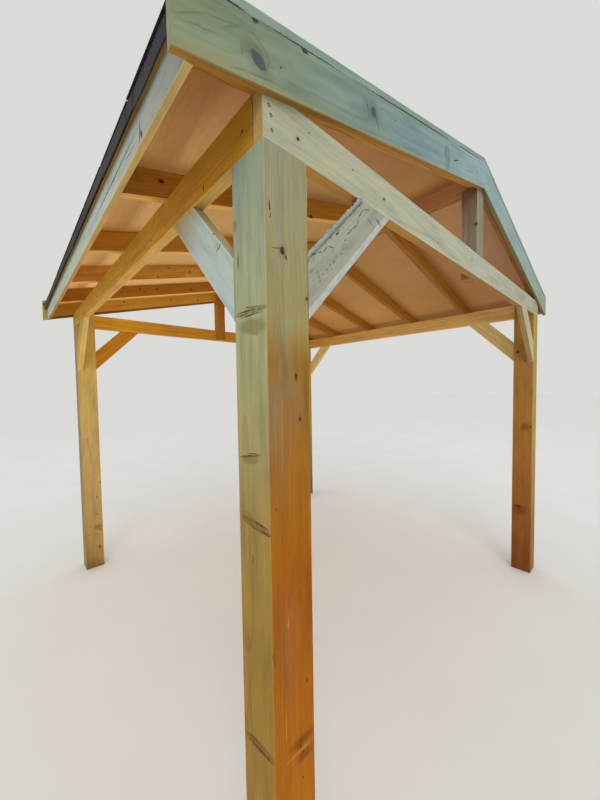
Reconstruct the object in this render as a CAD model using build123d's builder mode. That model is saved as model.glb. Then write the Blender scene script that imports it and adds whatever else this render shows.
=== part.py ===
from build123d import *
from math import cos, radians, tan
import os

# Gabled garden shelter of planed softwood on four square posts.
# Frame: +X runs along the gables, +Y runs along the eaves from front to
# rear, +Z is up. The origin is the middle of the plan at floor level.

# driving dimensions, mm

# plan over the outer faces of the posts
frame_width = 3000
frame_depth = 3000

# posts
post_side = 145
post_arris = 5

# stock shared by tie beams, wall plates, braces, rafters and ridge board
stock_thick = 38
stock_arris = 3
beam_depth = 125
beam_bottom = 2275
plate_joint_gap = 5

# knee braces at 45 degrees, in line with the outer faces of the posts
brace_depth = 120
brace_leg = 412

# king posts, notched over the tie beams and forked under the ridge board
king_width = 100
king_depth = 82

# roof frame
roof_pitch = 14.5
rafter_depth = 95
rafter_bays = 5
ridge_depth = 115

# roof covering
boarding_thick = 12
covering_thick = 8

# eaves
eaves_overhang = 187
fascia_thick = 18
batten_thick = 8
batten_depth = 30
covering_turndown = 36

# verges
barge_thick = 20
barge_drop = 20
barge_reach = 220
cap_thick = 24
cap_width = 62
trim_arris = 2

# derived positions

half_x = frame_width / 2
half_y = frame_depth / 2
post_inner_x = half_x - post_side
post_inner_y = half_y - post_side
seat = beam_bottom + beam_depth
slope = tan(radians(roof_pitch))
plumb = 1 / cos(radians(roof_pitch))
brace_inner_leg = brace_leg - brace_depth * 2 ** 0.5
half_ridge = stock_thick / 2
fascia_out = half_x + eaves_overhang
fascia_in = fascia_out - fascia_thick
boarding_end = fascia_out + batten_thick
covering_end = boarding_end + covering_thick
barge_end = half_x + barge_reach
barge_face = half_y + barge_thick
rafter_pitch = (frame_depth - stock_thick) / rafter_bays
rafter_fronts = [-half_y + i * rafter_pitch for i in range(rafter_bays + 1)]


def rafter_under(u):
    """Height of the rafters' underside at the distance u from the ridge."""
    return seat + (half_x - stock_thick - u) * slope


def boarding_under(u):
    """Height of the rafters' top edge, which carries the boarding."""
    return rafter_under(u) + rafter_depth * plumb


def covering_under(u):
    """Height of the boarding's top face."""
    return boarding_under(u) + boarding_thick * plumb


def covering_top(u):
    """Height of the covering's top face."""
    return covering_under(u) + covering_thick * plumb


def barge_low(u):
    """Height of the bargeboards' lower edge."""
    return rafter_under(u) - barge_drop


def cap_top(u):
    """Height of the verge caps' top face."""
    return covering_top(u) + cap_thick * plumb


ridge_top = boarding_under(half_ridge)
ridge_bottom = ridge_top - ridge_depth
fascia_bottom = barge_low(fascia_out)
os.makedirs("parts", exist_ok=True)

# posts: the head is housed for the tie beam and the wall plate

with BuildPart() as front_left_post:
    with BuildSketch(Plane.XY):
        with Locations((-half_x + post_side / 2, -half_y + post_side / 2)):
            Rectangle(post_side, post_side)
        fillet(vertices(), post_arris)
    extrude(amount=seat)
    with BuildSketch(Plane.XY.offset(beam_bottom)):
        with Locations((-half_x, -half_y)):
            Rectangle(post_side, stock_thick, align=(Align.MIN, Align.MIN))
            Rectangle(stock_thick, post_side, align=(Align.MIN, Align.MIN))
    extrude(amount=beam_depth, mode=Mode.SUBTRACT)
front_left_post.part.label = "front_left_post"
export_step(front_left_post.part, "parts/front_left_post.step")

with BuildPart() as front_right_post:
    mirror(front_left_post.part, about=Plane.YZ)
front_right_post.part.label = "front_right_post"
export_step(front_right_post.part, "parts/front_right_post.step")

with BuildPart() as rear_left_post:
    mirror(front_left_post.part, about=Plane.XZ)
rear_left_post.part.label = "rear_left_post"
export_step(rear_left_post.part, "parts/rear_left_post.step")

with BuildPart() as rear_right_post:
    mirror(front_right_post.part, about=Plane.XZ)
rear_right_post.part.label = "rear_right_post"
export_step(rear_right_post.part, "parts/rear_right_post.step")

# tie beams: outer faces flush with the posts

with BuildPart() as front_tie_beam:
    with BuildSketch(Plane.YZ.offset(-half_x)):
        with Locations((-half_y, beam_bottom)):
            Rectangle(stock_thick, beam_depth, align=(Align.MIN, Align.MIN))
        fillet(vertices(), stock_arris)
    extrude(amount=frame_width)
front_tie_beam.part.label = "front_tie_beam"
export_step(front_tie_beam.part, "parts/front_tie_beam.step")

with BuildPart() as rear_tie_beam:
    mirror(front_tie_beam.part, about=Plane.XZ)
rear_tie_beam.part.label = "rear_tie_beam"
export_step(rear_tie_beam.part, "parts/rear_tie_beam.step")

# wall plates: between the tie beams, in the posts' side housings

plate_end = half_y - stock_thick - plate_joint_gap
with BuildPart() as left_wall_plate:
    with BuildSketch(Plane.XZ.offset(plate_end)):
        with Locations((-half_x, beam_bottom)):
            Rectangle(stock_thick, beam_depth, align=(Align.MIN, Align.MIN))
        fillet(vertices(), stock_arris)
    extrude(amount=-2 * plate_end)
left_wall_plate.part.label = "left_wall_plate"
export_step(left_wall_plate.part, "parts/left_wall_plate.step")

with BuildPart() as right_wall_plate:
    mirror(left_wall_plate.part, about=Plane.YZ)
right_wall_plate.part.label = "right_wall_plate"
export_step(right_wall_plate.part, "parts/right_wall_plate.step")

# knee braces: cut at 45 degrees to post and beam, long arrises eased

gable_brace_grain = Axis((0, 0, 0), (1, 0, 1))
side_brace_grain = Axis((0, 0, 0), (0, 1, 1))
with BuildPart() as front_left_gable_brace:
    with BuildSketch(Plane.XZ.offset(half_y)):
        with BuildLine():
            Polyline(
                (-post_inner_x, beam_bottom - brace_leg),
                (-post_inner_x, beam_bottom - brace_inner_leg),
                (-post_inner_x + brace_inner_leg, beam_bottom),
                (-post_inner_x + brace_leg, beam_bottom),
                close=True,
            )
        make_face()
    extrude(amount=-stock_thick)
    fillet(edges().filter_by(gable_brace_grain), stock_arris)
front_left_gable_brace.part.label = "front_left_gable_brace"
export_step(front_left_gable_brace.part, "parts/front_left_gable_brace.step")

with BuildPart() as front_right_gable_brace:
    mirror(front_left_gable_brace.part, about=Plane.YZ)
front_right_gable_brace.part.label = "front_right_gable_brace"
export_step(front_right_gable_brace.part, "parts/front_right_gable_brace.step")

with BuildPart() as rear_left_gable_brace:
    mirror(front_left_gable_brace.part, about=Plane.XZ)
rear_left_gable_brace.part.label = "rear_left_gable_brace"
export_step(rear_left_gable_brace.part, "parts/rear_left_gable_brace.step")

with BuildPart() as rear_right_gable_brace:
    mirror(front_right_gable_brace.part, about=Plane.XZ)
rear_right_gable_brace.part.label = "rear_right_gable_brace"
export_step(rear_right_gable_brace.part, "parts/rear_right_gable_brace.step")

with BuildPart() as front_left_side_brace:
    with BuildSketch(Plane.YZ.offset(-half_x)):
        with BuildLine():
            Polyline(
                (-post_inner_y, beam_bottom - brace_leg),
                (-post_inner_y, beam_bottom - brace_inner_leg),
                (-post_inner_y + brace_inner_leg, beam_bottom),
                (-post_inner_y + brace_leg, beam_bottom),
                close=True,
            )
        make_face()
    extrude(amount=stock_thick)
    fillet(edges().filter_by(side_brace_grain), stock_arris)
front_left_side_brace.part.label = "front_left_side_brace"
export_step(front_left_side_brace.part, "parts/front_left_side_brace.step")

with BuildPart() as front_right_side_brace:
    mirror(front_left_side_brace.part, about=Plane.YZ)
front_right_side_brace.part.label = "front_right_side_brace"
export_step(front_right_side_brace.part, "parts/front_right_side_brace.step")

with BuildPart() as rear_left_side_brace:
    mirror(front_left_side_brace.part, about=Plane.XZ)
rear_left_side_brace.part.label = "rear_left_side_brace"
export_step(rear_left_side_brace.part, "parts/rear_left_side_brace.step")

with BuildPart() as rear_right_side_brace:
    mirror(front_right_side_brace.part, about=Plane.XZ)
rear_right_side_brace.part.label = "rear_right_side_brace"
export_step(rear_right_side_brace.part, "parts/rear_right_side_brace.step")

# king posts: foot notched over the tie beam, head forked for the ridge

half_king = king_width / 2
with BuildPart() as front_king_post:
    with BuildSketch(Plane.XY.offset(beam_bottom)):
        with Locations((0, -half_y)):
            Rectangle(king_width, king_depth, align=(Align.CENTER, Align.MIN))
        fillet(vertices(), stock_arris)
    extrude(amount=rafter_under(0) - beam_bottom)
    with BuildSketch(Plane.XZ.offset(half_y)):
        with BuildLine():
            Polyline(
                (-king_width, rafter_under(king_width)),
                (0, rafter_under(0)),
                (king_width, rafter_under(king_width)),
                (king_width, boarding_under(0)),
                (-king_width, boarding_under(0)),
                close=True,
            )
        make_face()
        with Locations((0, ridge_bottom)):
            Rectangle(stock_thick, ridge_depth, align=(Align.CENTER, Align.MIN))
    extrude(amount=-king_depth, mode=Mode.SUBTRACT)
    with BuildSketch(Plane.XZ.offset(half_y)):
        with Locations((0, beam_bottom)):
            Rectangle(king_width, beam_depth, align=(Align.CENTER, Align.MIN))
    extrude(amount=-stock_thick, mode=Mode.SUBTRACT)
front_king_post.part.label = "front_king_post"
export_step(front_king_post.part, "parts/front_king_post.step")

with BuildPart() as rear_king_post:
    mirror(front_king_post.part, about=Plane.XZ)
rear_king_post.part.label = "rear_king_post"
export_step(rear_king_post.part, "parts/rear_king_post.step")

# ridge board: carried in the king posts' forks, top planed to both slopes

with BuildPart() as ridge_board:
    with BuildSketch(Plane.XZ.offset(half_y)):
        with BuildLine():
            Polyline(
                (-half_ridge, ridge_bottom),
                (half_ridge, ridge_bottom),
                (half_ridge, ridge_top),
                (0, boarding_under(0)),
                (-half_ridge, ridge_top),
                close=True,
            )
        make_face()
        fillet(vertices().sort_by(Axis.Y)[:2], stock_arris)
    extrude(amount=-frame_depth)
ridge_board.part.label = "ridge_board"
export_step(ridge_board.part, "parts/ridge_board.step")

# rafters: plumb cut at ridge and eaves, birdsmouth over the plate

slope_grain = Axis((0, 0, 0), (1, 0, slope))
rafter_places = ["front_end", "second", "third", "fourth", "fifth", "rear_end"]
for place, front in zip(rafter_places, rafter_fronts):
    with BuildPart() as left_rafter:
        with BuildSketch(Plane.XZ.offset(-front)):
            with BuildLine():
                Polyline(
                    (-half_ridge, rafter_under(half_ridge)),
                    (-half_ridge, boarding_under(half_ridge)),
                    (-fascia_in, boarding_under(fascia_in)),
                    (-fascia_in, rafter_under(fascia_in)),
                    (-half_x, rafter_under(half_x)),
                    (-half_x, seat),
                    (-half_x + stock_thick, seat),
                    close=True,
                )
            make_face()
        extrude(amount=-stock_thick)
        fillet(edges().filter_by(slope_grain), stock_arris)
    left_rafter.part.label = "left_rafter_" + place
    export_step(left_rafter.part, "parts/left_rafter_" + place + ".step")

    with BuildPart() as right_rafter:
        mirror(left_rafter.part, about=Plane.YZ)
    right_rafter.part.label = "right_rafter_" + place
    export_step(right_rafter.part, "parts/right_rafter_" + place + ".step")

# eaves fascias: between the bargeboards, top edge planed to the pitch

with BuildPart() as left_fascia:
    with BuildSketch(Plane.XZ.offset(half_y)):
        with BuildLine():
            Polyline(
                (-fascia_out, fascia_bottom),
                (-fascia_in, fascia_bottom),
                (-fascia_in, boarding_under(fascia_in)),
                (-fascia_out, boarding_under(fascia_out)),
                close=True,
            )
        make_face()
        fillet(vertices().sort_by(Axis.Y)[:2], trim_arris)
    extrude(amount=-frame_depth)
left_fascia.part.label = "left_fascia"
export_step(left_fascia.part, "parts/left_fascia.step")

with BuildPart() as right_fascia:
    mirror(left_fascia.part, about=Plane.YZ)
right_fascia.part.label = "right_fascia"
export_step(right_fascia.part, "parts/right_fascia.step")

# drip battens: under the boarding's edge, keeping the felt off the fascias

batten_bottom = boarding_under(fascia_out) - batten_depth
with BuildPart() as left_drip_batten:
    with BuildSketch(Plane.XZ.offset(half_y)):
        with BuildLine():
            Polyline(
                (-boarding_end, batten_bottom),
                (-fascia_out, batten_bottom),
                (-fascia_out, boarding_under(fascia_out)),
                (-boarding_end, boarding_under(boarding_end)),
                close=True,
            )
        make_face()
    extrude(amount=-frame_depth)
left_drip_batten.part.label = "left_drip_batten"
export_step(left_drip_batten.part, "parts/left_drip_batten.step")

with BuildPart() as right_drip_batten:
    mirror(left_drip_batten.part, about=Plane.YZ)
right_drip_batten.part.label = "right_drip_batten"
export_step(right_drip_batten.part, "parts/right_drip_batten.step")

# roof boarding: one sheet a slope, meeting in a plumb joint

with BuildPart() as left_roof_boarding:
    with BuildSketch(Plane.XZ.offset(half_y)):
        with BuildLine():
            Polyline(
                (0, boarding_under(0)),
                (0, covering_under(0)),
                (-boarding_end, covering_under(boarding_end)),
                (-boarding_end, boarding_under(boarding_end)),
                close=True,
            )
        make_face()
    extrude(amount=-frame_depth)
left_roof_boarding.part.label = "left_roof_boarding"
export_step(left_roof_boarding.part, "parts/left_roof_boarding.step")

with BuildPart() as right_roof_boarding:
    mirror(left_roof_boarding.part, about=Plane.YZ)
right_roof_boarding.part.label = "right_roof_boarding"
export_step(right_roof_boarding.part, "parts/right_roof_boarding.step")

# felt covering: folded over the ridge, turned down over the drip battens

with BuildPart() as felt_covering:
    with BuildSketch(Plane.XZ.offset(half_y)):
        with BuildLine():
            Polyline(
                (0, covering_under(0)),
                (-boarding_end, covering_under(boarding_end)),
                (-boarding_end, covering_under(boarding_end) - covering_turndown),
                (-covering_end, covering_under(covering_end) - covering_turndown),
                (-covering_end, covering_top(covering_end)),
                (0, covering_top(0)),
                (covering_end, covering_top(covering_end)),
                (covering_end, covering_under(covering_end) - covering_turndown),
                (boarding_end, covering_under(boarding_end) - covering_turndown),
                (boarding_end, covering_under(boarding_end)),
                close=True,
            )
        make_face()
    extrude(amount=-frame_depth)
felt_covering.part.label = "felt_covering"
export_step(felt_covering.part, "parts/felt_covering.step")

# bargeboards: plumb cut at the eaves, mitred in pairs at the apex

with BuildPart() as front_left_bargeboard:
    with BuildSketch(Plane.XZ.offset(barge_face)):
        with BuildLine():
            Polyline(
                (0, barge_low(0)),
                (0, covering_top(0)),
                (-barge_end, covering_top(barge_end)),
                (-barge_end, barge_low(barge_end)),
                close=True,
            )
        make_face()
    extrude(amount=-barge_thick)
    fillet(edges().filter_by(slope_grain), trim_arris)
front_left_bargeboard.part.label = "front_left_bargeboard"
export_step(front_left_bargeboard.part, "parts/front_left_bargeboard.step")

with BuildPart() as front_right_bargeboard:
    mirror(front_left_bargeboard.part, about=Plane.YZ)
front_right_bargeboard.part.label = "front_right_bargeboard"
export_step(front_right_bargeboard.part, "parts/front_right_bargeboard.step")

with BuildPart() as rear_left_bargeboard:
    mirror(front_left_bargeboard.part, about=Plane.XZ)
rear_left_bargeboard.part.label = "rear_left_bargeboard"
export_step(rear_left_bargeboard.part, "parts/rear_left_bargeboard.step")

with BuildPart() as rear_right_bargeboard:
    mirror(front_right_bargeboard.part, about=Plane.XZ)
rear_right_bargeboard.part.label = "rear_right_bargeboard"
export_step(rear_right_bargeboard.part, "parts/rear_right_bargeboard.step")

# verge caps: flat boards over the bargeboards and the covering's edge

with BuildPart() as front_left_verge_cap:
    with BuildSketch(Plane.XZ.offset(barge_face)):
        with BuildLine():
            Polyline(
                (0, covering_top(0)),
                (0, cap_top(0)),
                (-barge_end, cap_top(barge_end)),
                (-barge_end, covering_top(barge_end)),
                close=True,
            )
        make_face()
    extrude(amount=-cap_width)
    fillet(edges().filter_by(slope_grain), trim_arris)
front_left_verge_cap.part.label = "front_left_verge_cap"
export_step(front_left_verge_cap.part, "parts/front_left_verge_cap.step")

with BuildPart() as front_right_verge_cap:
    mirror(front_left_verge_cap.part, about=Plane.YZ)
front_right_verge_cap.part.label = "front_right_verge_cap"
export_step(front_right_verge_cap.part, "parts/front_right_verge_cap.step")

with BuildPart() as rear_left_verge_cap:
    mirror(front_left_verge_cap.part, about=Plane.XZ)
rear_left_verge_cap.part.label = "rear_left_verge_cap"
export_step(rear_left_verge_cap.part, "parts/rear_left_verge_cap.step")

with BuildPart() as rear_right_verge_cap:
    mirror(front_right_verge_cap.part, about=Plane.XZ)
rear_right_verge_cap.part.label = "rear_right_verge_cap"
export_step(rear_right_verge_cap.part, "parts/rear_right_verge_cap.step")
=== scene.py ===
import math
import random
from functools import partial

import bmesh
import bpy
from bpy.props import FloatProperty, FloatVectorProperty, IntProperty, PointerProperty
from mathutils import Matrix, Vector, noise


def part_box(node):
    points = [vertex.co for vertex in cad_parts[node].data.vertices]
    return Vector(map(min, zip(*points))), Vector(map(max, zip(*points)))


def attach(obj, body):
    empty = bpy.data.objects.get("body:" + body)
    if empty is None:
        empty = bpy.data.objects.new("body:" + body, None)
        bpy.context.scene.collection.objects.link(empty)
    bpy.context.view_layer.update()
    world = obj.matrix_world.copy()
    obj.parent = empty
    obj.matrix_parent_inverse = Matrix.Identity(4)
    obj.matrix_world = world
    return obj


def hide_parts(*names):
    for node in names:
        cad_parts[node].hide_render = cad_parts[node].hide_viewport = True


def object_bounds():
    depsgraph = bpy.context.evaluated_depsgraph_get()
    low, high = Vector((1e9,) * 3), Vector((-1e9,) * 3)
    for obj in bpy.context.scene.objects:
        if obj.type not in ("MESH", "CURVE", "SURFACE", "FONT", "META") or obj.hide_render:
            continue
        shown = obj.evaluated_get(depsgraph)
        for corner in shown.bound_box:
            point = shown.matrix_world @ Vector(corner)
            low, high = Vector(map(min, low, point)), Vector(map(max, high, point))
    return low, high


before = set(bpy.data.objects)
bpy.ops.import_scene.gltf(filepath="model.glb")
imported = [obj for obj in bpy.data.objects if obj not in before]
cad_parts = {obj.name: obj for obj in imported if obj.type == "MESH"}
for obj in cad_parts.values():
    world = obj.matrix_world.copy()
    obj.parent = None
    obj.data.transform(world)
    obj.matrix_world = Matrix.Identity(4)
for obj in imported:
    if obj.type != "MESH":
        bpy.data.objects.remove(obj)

bl_info = {
    "name": "Gabled garden shelter",
    "version": (1, 0, 0),
    "blender": (4, 5, 0),
    "location": "3D View > Sidebar > Shelter",
    "description": "Worn pine timbers, plywood, felt shingles and nails for the gabled garden shelter",
    "category": "Object",
}

# The box of the whole shelter as packed, and the places that everything hangs on, in metres.
packed_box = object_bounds()
roof_pitch = math.radians(14.5)
half_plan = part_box("front_right_post")[1][0]
eaves_edge = -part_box("left_roof_boarding")[0][0]
cap_back = -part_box("front_left_verge_cap")[1][1]
ridge_of_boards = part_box("left_roof_boarding")[1][2]
felt_build = 0.0078

# Radii of the eased arrises.
post_arris, beam_arris, trim_arris, batten_arris = 0.005, 0.003, 0.002, 0.001

up = Vector((0, 0, 1))
front, rear = Vector((0, -1, 0)), Vector((0, 1, 0))
left, right = Vector((-1, 0, 0)), Vector((1, 0, 0))

# Colours of the faces of the timbers and the boarding: one for a face, or several with the share of its
# length where each stands.
face_colours = {
    # the near post is greener towards its head and more orange towards its foot, and its face is browner than its
    # side: partly the tint of the treatment, partly painted light and shade
    "near_post_side": {0: "#A97E2E", 0.3958: "#9A7A36", 0.5417: "#9F8346", 0.75: "#A6A87A", 0.9167: "#9AA791"},
    "near_post_face": {0: "#BD7405", 0.4583: "#9F5A0A", 0.5417: "#A36412", 0.7292: "#956D2B",
        0.7708: "#9F905A", 0.9167: "#95926F"},
    "right_post_side": {0.0417: "#814B1F", 0.5: "#A26F30", 0.8333: "#9E763B"},
    "right_post_face": {0.15: "#A26F30", 0.5: "#B2984B"},
    # the rear posts are darker towards the foot, and lighter towards the head as painted light
    "rear_post": {0.0625: "#896A38", 0.25: "#A0824C", 0.4792: "#BA9B60", 0.8333: "#CDAC57"},
    "rear_post_outside": "#9F8B5C",
    "tie_face": {0: "#AEAE95", 0.5: "#B3B7A3", 1: "#AEAE95"},
    "tie_inside": "#CA9238",
    "tie_underside": {0.16: "#BE8944", 0.28: "#A3763F"},
    "rear_tie_face": "#AEAE95",
    # the inside of the rear tie is lighter than its wood: painted light from below
    "rear_tie_inside": {0.15: "#EDB33A", 0.27: "#D1992F"},
    "rear_tie_underside": "#A3763F",
    "left_plate_face": {0: "#B78224", 0.25: "#D7A340", 0.5: "#DAAC4A", 0.75: "#DAAC4A", 1: "#D2B452"},
    "left_plate_underside": {0: "#D5AC5B", 0.5: "#C4954E", 1: "#B9872D"},
    "right_plate_inside": {0.15: "#CD9A47", 0.4: "#D5AD63", 1: "#DCB371"},
    "plate_face": "#B78224", "plate_edge": "#D5AC5B", "brace_grey": "#A3A393", "brace_bark": "#8C9C9E",
    "brace_chalk": {0: "#B5C3BC", 0.62: "#B5C3BC", 0.92: "#BFA977"},
    # brace_amber and brace_gold are lighter than the honey pine of the other braces: painted light
    "brace_honey": "#CFAF5B", "brace_pale": "#C0BC9D", "brace_tan": "#A38655", "brace_amber": "#DAC082",
    "brace_gold": "#CF9229", "king_face": "#8F8F78", "king_side": "#8D8471",
    # the king post's edges grow darker and more purple towards its top: painted shadow under the ridge board
    "king_edge": {0.1: "#9A6D39", 0.2: "#8D8471", 0.5: "#8D8471", 1: "#7A5747"},
    "king_end": "#9A6D39", "king_rear": "#B37925", "ridge": "#C38D61", "rafter_side": "#C1862E",
    # the third to fifth and the rear end rafter on the left are each lighter or darker than the rest: painted light
    # and shade
    "rafter_third": "#CF9433", "rafter_fourth": "#D9A046", "rafter_fifth": "#B37923",
    "rafter_rear_end": "#D39E34", "rafter_edge_left": "#DEAC5D", "rafter_edge_right": "#96672D",
    # the end rafters' undersides are darker, the right one pinker as well: painted shade beside the bargeboards
    "rafter_end_left": "#B17F39", "rafter_end_right": "#845C35",
    # the left fascia is darker at its front end: painted shade
    "left_fascia_face": {0.03: "#969B94", 0.17: "#B1B9AD", 0.32: "#B4C0B0"},
    "fascia_face": "#B1B9AD", "fascia_edge": "#C1A463",
    "fascia_underside": {0: "#C1A463", 1: "#9C6F33"},
    "batten": "#8C7444", "batten_edge": "#93703F",
    # the grey green and blue of the bargeboards' faces is partly weathered pine, partly a painted cool tint of
    # light from the sky
    "barge_face": {0: "#7F8966", 0.5: "#7B9493", 1: "#92AEB1"},
    "barge_inside": "#A47532", "barge_end": "#8E8B70",
    "right_barge_face": {0: "#97A48E", 0.5: "#97AFA9", 1: "#92ACAD"},
    "right_barge_edge": "#7E714B",
    "rear_barge_inside": {0.02: "#B6A34F", 0.05: "#A47532"},
    "rear_barge_end": "#C6B66B", "verge_cap": "#899E92", "end_grain": "#BB9F5F",
    # the boarding is darker towards the front gable: painted shade
    "left_veneer": {0.04: "#C08848", 0.17: "#CE9D5B", 0.42: "#D8A561", 0.62: "#F0C27A"},
    "right_veneer": {0.05: "#A87D56", 0.17: "#B07D44", 0.42: "#AF7F44", 0.8: "#B37E40"},
    "knot": "#3B2716",
}

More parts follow.
